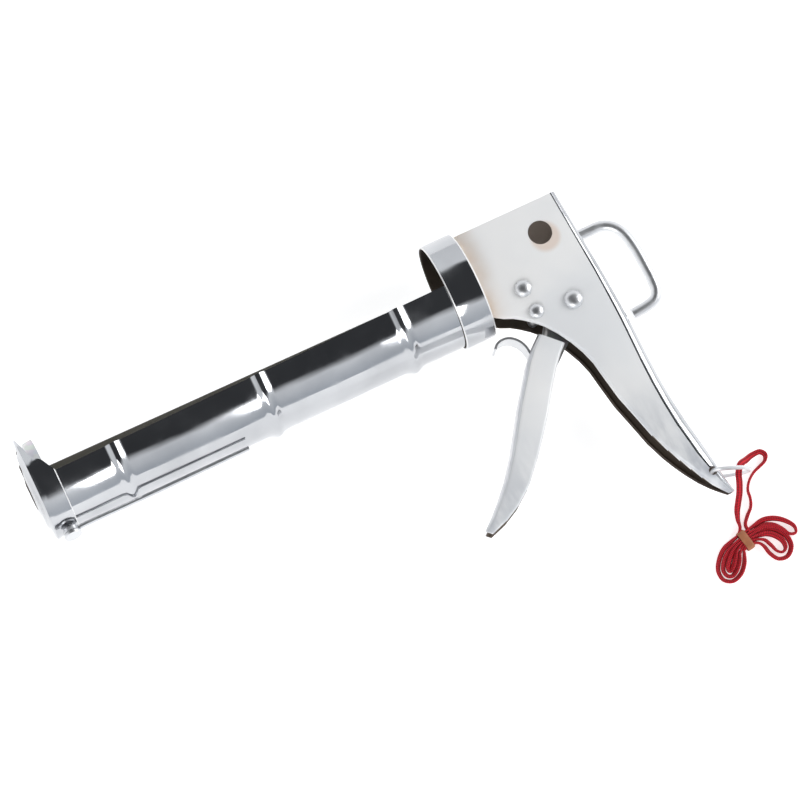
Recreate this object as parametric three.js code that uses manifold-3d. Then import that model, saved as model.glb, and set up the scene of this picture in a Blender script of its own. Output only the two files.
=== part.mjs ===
// Half-barrel caulking gun of chrome-plated sheet steel, lying on its right side on a flat surface.
// Gun frame, in millimetres: X runs rearward along the barrel axis from the collar's rear face.
// Z is the gun's up and -Y is its left side. The gun is then laid on its side, so the left side faces +Z.
import * as THREE from 'three';
import { mergeVertices } from 'three/addons/utils/BufferGeometryUtils.js';
import Module from 'manifold-3d';

const wasm = await Module();
wasm.setup();

// ---- driving dimensions -------------------------------------------------------------------------------------

const GAP = 0.3;                     // clearance kept between touching pieces
const LAY_ROLL = THREE.MathUtils.degToRad(5.9);  // roll that brings the tail's ring down to the surface

const SHEET = 1.2;                   // handle and trigger sheet thickness
const TROUGH_SHEET = 0.8;
const TROUGH_RADIUS = 25.6;          // inside radius, for a 50 mm cartridge
const TROUGH_WRAP = 12;              // degrees that each side wraps past the half circle
const ROLL_FRONT = 13.5;             // degrees that the barrel sits rolled at its front, right side up
const ROLL_REAR = 9;                 // the same at the collar: the sheet is slightly twisted
const TROUGH_FRONT = -236;
const TROUGH_REAR = -2.4;
const BEADS = [-197.2, -118.8, -43.6];
const BEAD_HALF = 5;
const BEAD_HEIGHT = 2;

const CAP_FRONT = -242.4;
const CAP_RADIUS = 28.3;
const CAP_RIM = 2.9;                 // the rim's distance behind the domed front
const CAP_LENGTH = 14.9;
const CAP_SHEET = 1;
const SLOT_HALF = 11;                // half width of the nozzle slot
const SLOT_TOP_HALF = 19.7;          // the same 40 above the axis, where its flared sides would reach

const COLLAR_LENGTH = 16.4;
const COLLAR_RADIUS = 28;
const COLLAR_SHEET = 1.2;

const HANDLE_HALF = 14;              // half width of the handle channel, outside
const HANDLE_TOP = 23.5;
const HANDLE_TAIL_HALF = 3.2;        // half width where the tail is pinched
const PINCH_START = -108;
const SPINE_BEND_TOP = 2.2;          // the spine's fold is tight at the top and rounder down the grip
const SPINE_BEND_TAIL = 5.4;
const LOOK_HOLE = { x: 40.1, z: 7.5, radius: 6.1 };
const TAIL_HOLE = { x: 65.4, z: -136.2, radius: 2.2 };

const TRIGGER_HALF = 11.2;           // clears the lips of the handle's open front
const LEVER_HALF = 8.6;
const PIVOT = { x: 40.2, z: -30.2 };
const PAWL_RIVET = { x: 20, z: -14.7 };
const SPRING_RIVET = { x: 21, z: -27.7 };
const SHANK_RADIUS = 2.5;
const PAWL_PIN = { x: 38.2, z: -13.4 };
const PAWL_PIN_RADIUS = 1.6;
const PAWL_WIDTH = 3;                // the two pawls stand side by side under the rod's teeth
const PAWL_INSET = 0.3;

const ROD_RADIUS = 3;
const PLUNGER_FRONT = CAP_FRONT + 5.2; // the plunger rests behind the nozzle slot and clear of it
const ROD_FRONT = PLUNGER_FRONT + 3.7;
const TOOTH_PITCH = 8;
const TOOTH_DEPTH = 1.3;
const PLUNGER_RADIUS = 22.5;

const PUNCH_ANGLE = THREE.MathUtils.degToRad(-18);
const PUNCH_X = -232.4;
const PUNCH_LENGTH = 96;
const PUNCH_SHANK = 1.6;
const WIRE_RADIUS = 1.25;
const RING_WIRE = 1.05;
const CORD_WIDTH = 3.4;

// ---- finishes -----------------------------------------------------------------------------------------------

const finish = (color, metalness, roughness) => new THREE.MeshStandardMaterial({ color, metalness, roughness });
const CHROME = finish(0xd9dde0, 1, 0.12);
const ZINC = finish(0xb9bcbf, 1, 0.35);
const STEEL = finish(0x8b8c8e, 1, 0.3);
const RED_CORD = finish(0xc81428, 0, 0.85);
const TAN_BAND = finish(0x9a5a2c, 0, 0.6);

// ---- solids -------------------------------------------------------------------------------------------------

function solid(geometry) {
  const bare = geometry.clone();
  bare.deleteAttribute('normal');
  bare.deleteAttribute('uv');
  const merged = mergeVertices(bare, 1e-4);
  return new wasm.Manifold(new wasm.Mesh({
    numProp: 3,
    vertProperties: new Float32Array(merged.attributes.position.array),
    triVerts: new Uint32Array(merged.index.array),
  }));
}

function toGeometry(manifold) {
  const mesh = manifold.getMesh();
  const geometry = new THREE.BufferGeometry();
  geometry.setAttribute('position', new THREE.BufferAttribute(new Float32Array(mesh.vertProperties), 3));
  geometry.setIndex(new THREE.BufferAttribute(new Uint32Array(mesh.triVerts), 1));
  geometry.computeVertexNormals();
  return geometry;
}

const group = new THREE.Group();

function addPiece(name, geometry, material, parent = group) {
  const mesh = new THREE.Mesh(geometry, material);
  mesh.name = name;
  parent.add(mesh);
  return mesh;
}

// A closed body through a row of equal loops. Each loop holds { flat: Vector2, point: Vector3 }.
function loft(loops) {
  const count = loops[0].length;
  const positions = loops.flatMap((loop) => loop.flatMap(({ point }) => point.toArray()));
  const index = [];
  for (let row = 0; row + 1 < loops.length; row += 1) {
    for (let i = 0; i < count; i += 1) {
      const next = (i + 1) % count;
      const a = row * count + i;
      const b = row * count + next;
      index.push(a, b, b + count, a, b + count, a + count);
    }
  }
  const addLid = (loop, base, forward) => {
    const contour = loop.map(({ flat }) => flat);
    const turn = Math.sign(THREE.ShapeUtils.area(contour)) * (forward ? 1 : -1);
    for (const [i, j, k] of THREE.ShapeUtils.triangulateShape(contour, [])) {
      const area = THREE.ShapeUtils.area([contour[i], contour[j], contour[k]]);
      const face = Math.sign(area) === turn ? [i, j, k] : [k, j, i];
      index.push(...face.map((corner) => corner + base));
    }
  };
  addLid(loops[0], 0, false);
  addLid(loops.at(-1), (loops.length - 1) * count, true);
  const geometry = new THREE.BufferGeometry();
  geometry.setAttribute('position', new THREE.Float32BufferAttribute(positions, 3));
  geometry.setIndex(index);
  return facingOut(geometry);
}

function facingOut(geometry) {
  const p = geometry.attributes.position;
  const corners = [new THREE.Vector3(), new THREE.Vector3(), new THREE.Vector3()];
  let volume = 0;
  for (let i = 0; i < geometry.index.count; i += 3) {
    corners.forEach((corner, k) => corner.fromBufferAttribute(p, geometry.index.getX(i + k)));
    volume += corners[0].dot(corners[1].clone().cross(corners[2]));
  }
  if (volume < 0) {
    geometry.index.array.reverse();
  }
  return geometry;
}

// The outline of a strip of sheet: a centre line thickened by the same amount to both sides.
function stripOutline(line, thickness) {
  const side = (sign) => line.map((point, i) => {
    const before = line[Math.max(i - 1, 0)];
    const after = line[Math.min(i + 1, line.length - 1)];
    const along = after.clone().sub(before).normalize();
    const bend = i > 0 && i < line.length - 1
      ? Math.cos(point.clone().sub(before).angleTo(after.clone().sub(point)) / 2)
      : 1;
    const offset = new THREE.Vector2(-along.y, along.x).multiplyScalar((sign * thickness) / 2 / bend);
    return point.clone().add(offset);
  });
  return [...side(1), ...side(-1).reverse()];
}

function bendPoints(centre, radius, fromDegrees, toDegrees, steps = 4) {
  return Array.from({ length: steps + 1 }, (_, i) => {
    const angle = THREE.MathUtils.degToRad(THREE.MathUtils.lerp(fromDegrees, toDegrees, i / steps));
    return new THREE.Vector2(centre.x + radius * Math.cos(angle), centre.y + radius * Math.sin(angle));
  });
}

// One section of a folded channel, from its open edges (u = 0) to its closed back (u = depth).
function channelLine(depth, half, bend, lip) {
  const back = Math.min(bend, depth * 0.4, half * 0.7);
  const curl = Math.min(lip, depth * 0.3, half * 0.5);
  const right = [
    ...(lip > 0 ? bendPoints({ x: curl, y: half - curl }, curl, 180, 90, 3) : [new THREE.Vector2(0, half)]),
    ...bendPoints({ x: depth - back, y: half - back }, back, 90, 0),
  ];
  const left = right.map(({ x, y }) => new THREE.Vector2(x, -y)).reverse();
  return [...right, ...left];
}

// A folded channel whose sections run from an open edge to a closed back, both in the gun's XZ plane.
// A station may have a bend radius of its own.
function channel(stations, { bend = 0, lip = 0, thickness = SHEET }) {
  return loft(stations.map(({ open, back, half, ownBend = bend }) => {
    const across = back.clone().sub(open);
    const depth = across.length();
    across.normalize();
    const line = channelLine(depth - thickness / 2, half - thickness / 2, ownBend, lip);
    return stripOutline(line, thickness).map((flat) => ({
      flat,
      point: new THREE.Vector3(open.x + across.x * flat.x, flat.y, open.y + across.y * flat.x),
    }));
  }));
}

const xz = (x, z) => new THREE.Vector2(x, z);

// The X of a smooth edge line at a given Z, the line running steadily downward.
function edgeAt(points) {
  const samples = new THREE.SplineCurve(points).getPoints(240);
  return (z) => {
    const i = Math.max(1, samples.findIndex((point) => point.y <= z));
    const [a, b] = [samples[i - 1], samples[i]];
    const t = THREE.MathUtils.clamp((a.y - z) / (a.y - b.y), 0, 1);
    return THREE.MathUtils.lerp(a.x, b.x, t);
  };
}

function turned(geometry, axis) {
  if (axis === 'x') {
    geometry.rotateZ(-Math.PI / 2);
  }
  if (axis === 'z') {
    geometry.rotateX(Math.PI / 2);
  }
  return geometry;
}

function rodAlong(axis, radius, length, at, segments = 24) {
  const geometry = turned(new THREE.CylinderGeometry(radius, radius, length, segments), axis);
  return geometry.translate(...at);
}

// A body of revolution about the X or Y axis, from [radius, place along the axis] pairs.
function turnedBody(profile, segments, axis = 'x') {
  const outline = profile.map(([radius, along]) => new THREE.Vector2(radius, along));
  const geometry = turned(new THREE.LatheGeometry(outline, segments), axis);
  geometry.deleteAttribute('normal');
  geometry.deleteAttribute('uv');
  return facingOut(mergeVertices(geometry, 1e-4));
}

function box(size, at) {
  return new THREE.BoxGeometry(...size).translate(...at);
}

function plate(outline, thickness, y) {
  const geometry = new THREE.ExtrudeGeometry(new THREE.Shape(outline), { depth: thickness, bevelEnabled: false });
  return geometry.rotateX(Math.PI / 2).translate(0, y + thickness, 0);
}

function wire(curve, radius, steps, sides = 10) {
  const section = new THREE.Shape(Array.from({ length: sides }, (_, i) => {
    const angle = (i / sides) * 2 * Math.PI;
    return new THREE.Vector2(radius * Math.cos(angle), radius * Math.sin(angle));
  }));
  return new THREE.ExtrudeGeometry(section, { steps, extrudePath: curve });
}

// ---- barrel: trough, front cap and collar -------------------------------------------------------------------

function beadRise(x) {
  const distance = Math.min(...BEADS.map((crest) => Math.abs(x - crest)));
  return distance < BEAD_HALF ? BEAD_HEIGHT * 0.5 * (1 + Math.cos((Math.PI * distance) / BEAD_HALF)) : 0;
}

// The beads fade out before the right side's cut edge.
function troughLoop(x) {
  const steps = 20;
  const roll = THREE.MathUtils.mapLinear(x, TROUGH_FRONT, TROUGH_REAR, ROLL_FRONT, ROLL_REAR);
  const arc = (wall) => Array.from({ length: steps + 1 }, (_, i) => {
    const degrees = THREE.MathUtils.lerp(-180 - TROUGH_WRAP, TROUGH_WRAP, i / steps) + roll;
    const angle = THREE.MathUtils.degToRad(degrees);
    const rise = beadRise(x) * (1 - THREE.MathUtils.smoothstep(i / steps, 0.8, 0.95));
    const radius = TROUGH_RADIUS + wall + rise;
    return new THREE.Vector2(radius * Math.cos(angle), radius * Math.sin(angle));
  });
  const loop = [...arc(0), ...arc(TROUGH_SHEET).reverse()];
  return loop.map((flat) => ({ flat, point: new THREE.Vector3(x, flat.x, flat.y) }));
}

function makeTrough() {
  const beadSteps = [-1, -0.62, -0.3, 0, 0.3, 0.62, 1];
  const stations = BEADS.flatMap((crest) => beadSteps.map((step) => crest + step * BEAD_HALF));
  return loft([TROUGH_FRONT, ...stations, TROUGH_REAR].map(troughLoop));
}

// The pressed front cap: a skirt round the trough that sweeps up to two ears, and a slotted front.
function makeFrontCap() {
  const rear = CAP_FRONT + CAP_LENGTH;
  const inner = TROUGH_RADIUS + TROUGH_SHEET + GAP;
  const skirt = inner + CAP_SHEET;
  const rim = CAP_FRONT + CAP_RIM;
  const front = [[0, CAP_FRONT], [13, CAP_FRONT], [15.2, CAP_FRONT + 0.6], [20.6, CAP_FRONT + 0.8],
    [22.6, CAP_FRONT + 2], [CAP_RADIUS - 1.2, CAP_FRONT + 2.3]];
  const flare = [
    [CAP_RADIUS, rim], [CAP_RADIUS - 0.2, rim + 0.8], [skirt + 0.1, rim + 1.9], [skirt, rim + 3.4],
  ];
  const inside = [[skirt, rear - 0.5], [skirt - 0.5, rear], [inner, rear], [inner, rim + 1.6], [inner - 3.4, CAP_FRONT + 3.1],
    [20, CAP_FRONT + 2], [12, CAP_FRONT + CAP_SHEET], [0, CAP_FRONT + CAP_SHEET]];
  const profile = [...front, ...flare, ...inside];
  const cup = solid(turnedBody(profile, 44));
  const slot = new THREE.Shape();
  slot.moveTo(-SLOT_TOP_HALF, 40);
  slot.lineTo(-SLOT_HALF, 0);
  slot.absarc(0, 0, SLOT_HALF, Math.PI, 2 * Math.PI, false);
  slot.lineTo(SLOT_TOP_HALF, 40);
  const slotCut = new THREE.ExtrudeGeometry(slot, { depth: 20, bevelEnabled: false, curveSegments: 16 });
  slotCut.applyMatrix4(new THREE.Matrix4().makeBasis(
    new THREE.Vector3(0, 1, 0), new THREE.Vector3(0, 0, 1), new THREE.Vector3(1, 0, 0),
  )).translate(CAP_FRONT - 5, 0, 0);
  const edge = [
    [rim + 0.3, 23.6], [rim + 3.1, 13.6], [rim + 4.8, 9.7], [rim + 7.8, 7.1], [rim + 9.6, 3.8], [rear + 0.5, -1.5],
  ].map(([x, z]) => xz(x, z));
  const above = [xz(rear + 0.5, 40), xz(rim + 0.3, 40)];
  const sweep = new THREE.Shape([...new THREE.SplineCurve(edge).getPoints(15), ...above]);
  const sweepCut = new THREE.ExtrudeGeometry(sweep, { depth: 80, bevelEnabled: false }).rotateX(Math.PI / 2);
  sweepCut.translate(0, 40, 0);
  return toGeometry(cup.subtract(solid(slotCut)).subtract(solid(sweepCut)));
}

// The collar ring that holds the trough, closed at the rear by a disc with a hole for the rod.
function makeCollar() {
  const inner = COLLAR_RADIUS - COLLAR_SHEET;
  const profile = [
    [ROD_RADIUS + 4, -1.2], [inner, -1.2], [inner, -COLLAR_LENGTH + 0.6], [inner + 0.4, -COLLAR_LENGTH],
    [COLLAR_RADIUS - 0.3, -COLLAR_LENGTH], [COLLAR_RADIUS, -COLLAR_LENGTH + 0.6], [COLLAR_RADIUS, -0.8],
    [COLLAR_RADIUS - 0.8, 0], [ROD_RADIUS + 4, 0], [ROD_RADIUS + 4, -1.2],
  ];
  return turnedBody(profile, 40);
}

function ringBush(inner, outer, flange, from, to) {
  const step = from + Math.sign(to - from) * 1.2;
  const profile = [[inner, from], [flange, from], [flange, step], [outer, step], [outer, to], [inner, to],
    [inner, from]];
  return turnedBody(profile, 20);
}

// ---- handle -------------------------------------------------------------------------------------------------

const frontEdge = edgeAt([
  xz(0.9, -21), xz(5.4, -24), xz(11.8, -27.2), xz(22, -36), xz(30.5, -49), xz(35.8, -63), xz(38.4, -80),
  xz(42.5, -95.4), xz(46.5, -109.8), xz(53, -125), xz(61.6, -140), xz(70.2, -150),
]);
const spineEdge = edgeAt([
  xz(56, HANDLE_TOP), xz(58.7, -4), xz(61.3, -45), xz(62, -80), xz(64, -104), xz(67.4, -125), xz(70, -142),
  xz(72.6, -150.4),
]);

function handleHalf(z) {
  const t = THREE.MathUtils.clamp((PINCH_START - z) / (PINCH_START + 150), 0, 1);
  return THREE.MathUtils.lerp(HANDLE_HALF, HANDLE_TAIL_HALF, t ** 3);
}

function handleStation(z) {
  const down = THREE.MathUtils.clamp((HANDLE_TOP - z) / (HANDLE_TOP - PINCH_START), 0, 1);
  return {
    open: xz(z > -21.2 ? 0.6 : frontEdge(z), z),
    back: xz(spineEdge(z), z),
    half: handleHalf(z),
    ownBend: THREE.MathUtils.lerp(SPINE_BEND_TOP, SPINE_BEND_TAIL, down),
  };
}

function makeHandle() {
  const levels = [
    HANDLE_TOP, -20.9, -22.4, -24, -26, -28.6, -32, -36, -42, -49, -56, -63, -72, -84, -96, -108, -118, -125, -131,
    -137, -142, -146, -149,
  ];
  let body = solid(channel(levels.map(handleStation), { lip: 1.8 }));
  const cuts = [
    rodAlong('y', LOOK_HOLE.radius, 8, [LOOK_HOLE.x, -HANDLE_HALF, LOOK_HOLE.z], 40),
    rodAlong('y', TAIL_HOLE.radius, 60, [TAIL_HOLE.x, 0, TAIL_HOLE.z], 20),
    rodAlong('x', ROD_RADIUS + 2.3, 12, [58, 0, 0], 24),
    ...[PIVOT, PAWL_RIVET, SPRING_RIVET].map(({ x, z }) => (
      rodAlong('y', SHANK_RADIUS + GAP, 60, [x, 0, z], 20)
    )),
  ];
  for (const cut of cuts) {
    body = body.subtract(solid(cut));
  }
  return toGeometry(body);
}

// A through rivet along Y: a domed head outside each handle plate and a shank between them.
function makeRivet({ x, z }, headRadius) {
  const seat = HANDLE_HALF + GAP;
  const rise = headRadius * 0.5;
  const dome = bendPoints({ x: 0, y: seat + 0.5 }, 1, 0, 90, 4).map((point) => [
    point.x * headRadius, seat + 0.5 + (point.y - seat - 0.5) * rise,
  ]);
  const half = [
    [SHANK_RADIUS, 0], [SHANK_RADIUS, seat], [headRadius, seat], ...dome.slice(0, -1), [0, seat + 0.5 + rise],
  ];
  const mirror = half.slice(1).map(([r, y]) => [r, -y]).reverse();
  return turnedBody([...mirror, ...half], 22, 'y').translate(x, 0, z);
}

// ---- trigger and ratchet ------------------------------------------------------------------------------------

const TRIGGER_STATIONS = [
  { back: xz(17.2, -37.6), open: xz(26.8, -47.2), half: TRIGGER_HALF },
  { back: xz(11.6, -42.2), open: xz(22.6, -51), half: TRIGGER_HALF },
  { back: xz(6.2, -48), open: xz(17.4, -57), half: TRIGGER_HALF },
  { back: xz(0.2, -56), open: xz(12, -64), half: TRIGGER_HALF },
  { back: xz(-6.8, -65.2), open: xz(4.2, -75.2), half: TRIGGER_HALF },
  { back: xz(-14.2, -76), open: xz(-3, -84.4), half: TRIGGER_HALF },
  { back: xz(-21, -85.8), open: xz(-11, -94), half: TRIGGER_HALF },
  { back: xz(-29, -95.8), open: xz(-20, -103.6), half: TRIGGER_HALF - 0.4 },
  { back: xz(-36.4, -103.6), open: xz(-29, -110.2), half: TRIGGER_HALF - 1 },
  { back: xz(-43, -109.8), open: xz(-37.6, -114.6), half: TRIGGER_HALF - 2 },
  { back: xz(-49.2, -115), open: xz(-46.6, -117.6), half: TRIGGER_HALF - 3.4 },
];

// The finger guard: a tongue of the trigger's front that curls up and forward.
function makeTongue() {
  const line = [xz(-5, -35.4), xz(-3, -33.4), xz(0.4, -32.6), xz(4.2, -33.6), xz(7.4, -36.6), xz(9.3, -40.6),
    xz(9.8, -45)];
  return plate(stripOutline(new THREE.SplineCurve(line).getPoints(20), SHEET), 2 * LEVER_HALF, -LEVER_HALF);
}

function makeTrigger() {
  const shell = solid(channel(TRIGGER_STATIONS, { bend: 2.6, lip: 0.9 }));
  const tongue = solid(makeTongue());
  return toGeometry(shell.add(tongue));
}

// The lever inside the handle: a narrower channel from the trigger's shell past the pivot to the drive pawl.
function makeLever() {
  const stations = [
    { back: xz(12.2, -47.4), open: xz(20.6, -54.6), half: LEVER_HALF },
    { back: xz(19.2, -39.8), open: xz(28.6, -48), half: LEVER_HALF },
    { back: xz(26.6, -28.6), open: xz(43.4, -38.6), half: LEVER_HALF },
    { back: xz(32, -19), open: xz(47.4, -26), half: LEVER_HALF },
    { back: xz(33.6, -10.4), open: xz(42.6, -10.4), half: LEVER_HALF },
  ];
  let body = solid(channel(stations, { bend: 2 }));
  body = body.subtract(solid(rodAlong('y', SHANK_RADIUS + GAP, 60, [PIVOT.x, 0, PIVOT.z], 20)));
  body = body.subtract(solid(rodAlong('y', PAWL_PIN_RADIUS + GAP, 60, [PAWL_PIN.x, 0, PAWL_PIN.z], 16)));
  body = body.subtract(solid(box([8, 9, 9], [34, 0, -13])));
  return toGeometry(body);
}

function pawl(outline, y, { x, z }, holeRadius) {
  const body = solid(plate(outline, PAWL_WIDTH, y));
  return toGeometry(body.subtract(solid(rodAlong('y', holeRadius, 60, [x, 0, z], 16))));
}

function makeDrivePawl() {
  const outline = [xz(41.4, -15.6), xz(41.4, -11.4), xz(39, -9.4), xz(31, -6.4), xz(25.4, -3.6), xz(25, -5.8),
    xz(31, -9.4), xz(36, -16.6)];
  return pawl(outline, PAWL_INSET, PAWL_PIN, PAWL_PIN_RADIUS + GAP);
}

function makeHoldingPawl() {
  const outline = [xz(23.6, -17.4), xz(23.4, -12.6), xz(20, -10.8), xz(12.4, -7), xz(7.4, -3.6), xz(7, -6.2),
    xz(10.6, -10.8), xz(16.6, -17.2), xz(20, -18.6)];
  return pawl(outline, -PAWL_INSET - PAWL_WIDTH, PAWL_RIVET, SHANK_RADIUS + GAP);
}

function makePawlPin() {
  return rodAlong('y', PAWL_PIN_RADIUS, 2 * LEVER_HALF - 0.4, [PAWL_PIN.x, 0, PAWL_PIN.z], 16);
}

class Helix extends THREE.Curve {
  constructor(centre, radius, turns, from, to) {
    super();
    Object.assign(this, { centre, radius, turns, from, to });
  }

  getPoint(t, target = new THREE.Vector3()) {
    const angle = t * this.turns * 2 * Math.PI;
    return target.set(
      this.centre.x + this.radius * Math.cos(angle),
      THREE.MathUtils.lerp(this.from, this.to, t),
      this.centre.z + this.radius * Math.sin(angle),
    );
  }
}

// ---- rod and plunger ----------------------------------------------------------------------------------------

function makeRod() {
  const straightEnd = 68;
  const length = straightEnd - ROD_FRONT;
  let body = solid(rodAlong('x', ROD_RADIUS, length, [(straightEnd + ROD_FRONT) / 2, 0, 0], 16));
  const teeth = [xz(-196, -9)];
  for (let x = -196; x < 8; x += TOOTH_PITCH) {
    teeth.push(xz(x, -ROD_RADIUS - 0.2), xz(x, -ROD_RADIUS + TOOTH_DEPTH));
  }
  teeth.push(xz(8, -ROD_RADIUS - 0.2), xz(8, -9));
  body = body.subtract(solid(plate(teeth.reverse(), 12, -6)));
  body = body.add(solid(rodAlong('x', 1.9, 3, [ROD_FRONT - 1, 0, 0], 16)));
  body = body.add(solid(rodAlong('x', 3.4, 1.2, [ROD_FRONT - 2.5, 0, 0], 16)));
  const hook = new THREE.CatmullRomCurve3([
    [66, 0], [70, 0], [74.5, -1.6], [78.6, -5.6], [80.8, -11], [82, -19], [82.4, -27], [82.5, -36], [81.9, -41.6],
    [79.6, -45], [75.6, -46.4], [71, -47], [65.9, -47.4],
  ].map(([x, z]) => new THREE.Vector3(x, 0, z)));
  return toGeometry(body.add(solid(wire(hook, ROD_RADIUS - 0.02, 30, 16))));
}

function makePlunger() {
  const face = PLUNGER_FRONT;
  const profile = [
    [2.2, face + 2.2], [11, face + 2.2], [13, face + 0.4], [PLUNGER_RADIUS - 2.4, face + 0.4],
    [PLUNGER_RADIUS - 0.6, face + 1.2], [PLUNGER_RADIUS, face + 6], [PLUNGER_RADIUS - 1, face + 6],
    [PLUNGER_RADIUS - 1.8, face + 1.6], [13.6, face + 1.6], [11.4, face + 3.4], [2.2, face + 3.4],
    [2.2, face + 2.2],
  ];
  return turnedBody(profile, 48);
}

// ---- seal punch, lanyard ring and cord ----------------------------------------------------------------------

// Built under the barrel at bottom centre, then turned round the axis to its place.
function makePunchRivet() {
  const seat = TROUGH_RADIUS + TROUGH_SHEET + CAP_SHEET + 2 * GAP;
  const head = seat + 4;
  const half = [[0, seat], [PUNCH_SHANK, seat], [PUNCH_SHANK, head], [4.7, head], [4.4, head + 1.1], [0, head + 1.5]];
  const geometry = turnedBody(half, 20, 'y');
  return geometry.rotateX(-Math.PI / 2).translate(PUNCH_X, 0, 0).rotateX(PUNCH_ANGLE);
}

function makeSealPunch() {
  const level = -(TROUGH_RADIUS + TROUGH_SHEET + CAP_SHEET + 2 * GAP + 1.95);
  const start = PUNCH_X + 3.4;
  const end = PUNCH_X + PUNCH_LENGTH;
  const line = new THREE.CatmullRomCurve3([
    [start, level], [start + 5, level + 0.1], [start + 30, level - 0.1], [start + 60, level - 0.1], [end, level],
  ].map(([x, z]) => new THREE.Vector3(x, 0, z)));
  const eye = rodAlong('z', 3.9, 2, [PUNCH_X, 0, level], 20);
  const hole = rodAlong('z', PUNCH_SHANK + GAP, 10, [PUNCH_X, 0, level], 14);
  const body = solid(wire(line, WIRE_RADIUS, 16, 10)).add(solid(eye)).subtract(solid(hole));
  return toGeometry(body).rotateX(PUNCH_ANGLE);
}

// A bent-wire oval: its bar passes through both plates of the tail and its loop reaches rearward.
function makeLanyardRing() {
  const points = [
    [0, 0], [0, 5], [0, 9.6], [0.4, 11.8], [2, 12.9], [5, 13], [10, 12.2], [15.6, 9], [18.8, 4.6], [19.7, 0],
  ];
  const mirror = points.slice(0, -1).reverse().map(([u, y]) => [u, -y]);
  const path = [...points, ...mirror];
  path[0] = [0, RING_WIRE];
  path[path.length - 1] = [0, -RING_WIRE];
  const curve = new THREE.CatmullRomCurve3(path.map(([u, y]) => new THREE.Vector3(u, y, 0)));
  const tilt = Math.atan2(-6.9, 20);
  const geometry = wire(curve, RING_WIRE, 56, 8).rotateY(-tilt);
  return geometry.translate(TAIL_HOLE.x, 0, TAIL_HOLE.z);
}

// The cord is laid out in the surface's own frame: X as in the gun, Y up the page, Z above the surface.
const CORD_ROUTE = [
  [68.4, -164.5, 2], [69, -160.1, 2], [70.8, -155.7, 2], [73.3, -151.9, 2.6], [75.4, -148.6, 5], [77.2, -144.6, 8],
  [78.6, -140.6, 10.6], [81.4, -136.8, 9.8], [86, -135, 6], [90.5, -133.5, 3], [94.8, -133.5, 2.1], [96.4, -135.9, 2],
  [95, -138.5, 2], [91.2, -140.1, 2], [87, -141.7, 2], [83, -144.7, 2], [80.4, -148.5, 2], [79.6, -152.7, 2],
  [77.8, -156.7, 2], [74.2, -160.1, 2], [71.2, -163.7, 2],
];

// A plain stand-in for the flat cord: its width is the cord's, less what touching pieces keep apart.
function makeCordTube() {
  const curve = new THREE.CatmullRomCurve3(CORD_ROUTE.map((point) => new THREE.Vector3(...point)));
  return wire(curve, CORD_WIDTH / 2 - 0.2, 24, 8);
}

function hankSolid(outline, height) {
  const curve = new THREE.SplineCurve([...outline, outline[0]].map(([x, y]) => new THREE.Vector2(x, y)));
  const shape = new THREE.Shape(curve.getPoints(40).slice(0, -1));
  return new THREE.ExtrudeGeometry(shape, { depth: height, bevelEnabled: false }).translate(0, 0, 0.15);
}

// The folded hank's two fans lie on either side of the band.
const HANK_LOWER = [
  [63.2, -167.1], [56.2, -168.7], [50.2, -173.1], [47.1, -179.1], [47.8, -185.1], [52.2, -187.7], [58.2, -186.1],
  [62.8, -182.1], [65.2, -177.5], [65.2, -174.1],
];
const HANK_UPPER = [
  [70.8, -168.1], [74.2, -165.5], [80.2, -164.1], [87.2, -165.5], [92.2, -170.1], [93.6, -176.7], [89.8, -179.1],
  [88.2, -185.1], [82.6, -188.5], [76.6, -186.5], [73.2, -180.7], [71.8, -176.5],
];

function makeBand() {
  const across = new THREE.Shape(roundedSlot(10.6, 4.4));
  const geometry = new THREE.ExtrudeGeometry(across, { depth: 4.2, bevelEnabled: false });
  geometry.rotateX(Math.PI / 2).translate(0, 2.1, 2.35);
  return geometry.rotateZ(THREE.MathUtils.degToRad(-80)).translate(67.6, -170.9, 0);
}

function roundedSlot(length, height) {
  const radius = height / 2;
  const reach = length / 2 - radius;
  return [
    ...bendPoints({ x: reach, y: 0 }, radius, -90, 90, 8),
    ...bendPoints({ x: -reach, y: 0 }, radius, 90, 270, 8),
  ];
}

// ---- assembly -----------------------------------------------------------------------------------------------

const gun = new THREE.Group();
gun.rotation.x = -Math.PI / 2 + LAY_ROLL;
group.add(gun);

const inGun = (name, geometry, material) => addPiece(name, geometry, material, gun);

inGun('cradle', makeTrough(), CHROME);
inGun('front_cap', makeFrontCap(), CHROME);
inGun('collar', makeCollar(), CHROME);
inGun('handle', makeHandle(), CHROME);
inGun('rod_guide_front', ringBush(ROD_RADIUS + GAP, ROD_RADIUS + 3.7, ROD_RADIUS + 6, -3.7, -0.2), ZINC);
inGun('rod_guide_rear', ringBush(ROD_RADIUS + GAP, ROD_RADIUS + 2, ROD_RADIUS + 4.4, 54.6, 58.4), ZINC);
inGun('trigger_pivot', makeRivet(PIVOT, 4.75), CHROME);
inGun('pawl_rivet', makeRivet(PAWL_RIVET, 4.35), CHROME);
inGun('spring_rivet', makeRivet(SPRING_RIVET, 3.75), CHROME);
inGun('trigger', makeTrigger(), CHROME);
inGun('trigger_lever', makeLever(), ZINC);
inGun('drive_pawl', makeDrivePawl(), STEEL);
inGun('drive_pawl_pin', makePawlPin(), STEEL);
inGun('holding_pawl', makeHoldingPawl(), STEEL);
inGun('return_spring', wire(new Helix(PIVOT, 4.1, 3.5, -6.4, 6.4), 0.6, 48, 6), STEEL);
inGun('plunger_rod', makeRod(), CHROME);
inGun('plunger_plate', makePlunger(), ZINC);
inGun('punch_rivet', makePunchRivet(), CHROME);
inGun('seal_punch', makeSealPunch(), CHROME);
inGun('lanyard_ring', makeLanyardRing(), CHROME);

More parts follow.
